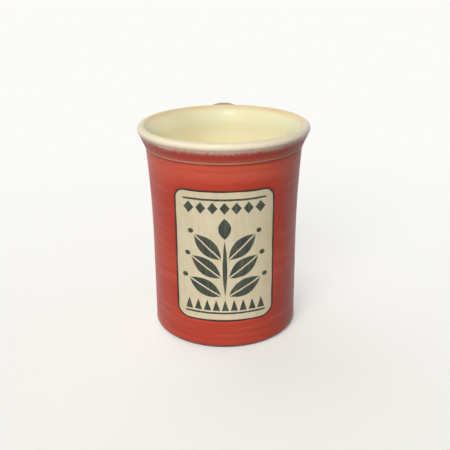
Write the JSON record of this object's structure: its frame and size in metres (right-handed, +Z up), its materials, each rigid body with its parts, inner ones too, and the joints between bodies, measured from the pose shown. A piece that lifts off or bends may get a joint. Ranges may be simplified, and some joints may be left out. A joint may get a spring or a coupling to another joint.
{
  "type": "stoneware mug",
  "caption": "Hand-thrown stoneware mug with a flared rounded lip over a fine ridge, red outside glaze, cream liner, slip-painted front panel and a pulled strap handle at the back",
  "frame": {"origin": "centre of the foot, on the plane of the table that the mug stands on", "axes": "+Z up along the turning axis, -Y out of the decorated front, +Y towards the handle, +X to the right as seen from the front"},
  "size_m": [0.084, 0.116, 0.105],
  "materials": {
    "stoneware": "bare fired clay, fine grained and matt",
    "luting_slip": "fired slip under thin red glaze",
    "cream_glaze": "smooth glossy liner glaze",
    "red_glaze": "silky red glaze with throwing rings showing through",
    "panel_slip": "satin cream slip",
    "dark_slip": "satin brushed dark slip"
  },
  "bodies": {
    "root": {"thrown_cup": "stoneware", "strap_handle": "stoneware", "upper_luting_slip": "luting_slip", "lower_luting_slip": "luting_slip", "liner_glaze": "cream_glaze", "outer_glaze": "red_glaze", "handle_glaze": "red_glaze", "panel_ground": "panel_slip", "panel_outline": "dark_slip", "sprig_stem": "dark_slip", "sprig_leaves": "dark_slip", "sprig_berries": "dark_slip", "lozenge_band": "dark_slip", "tooth_band": "dark_slip"}
  },
  "joints": []
}
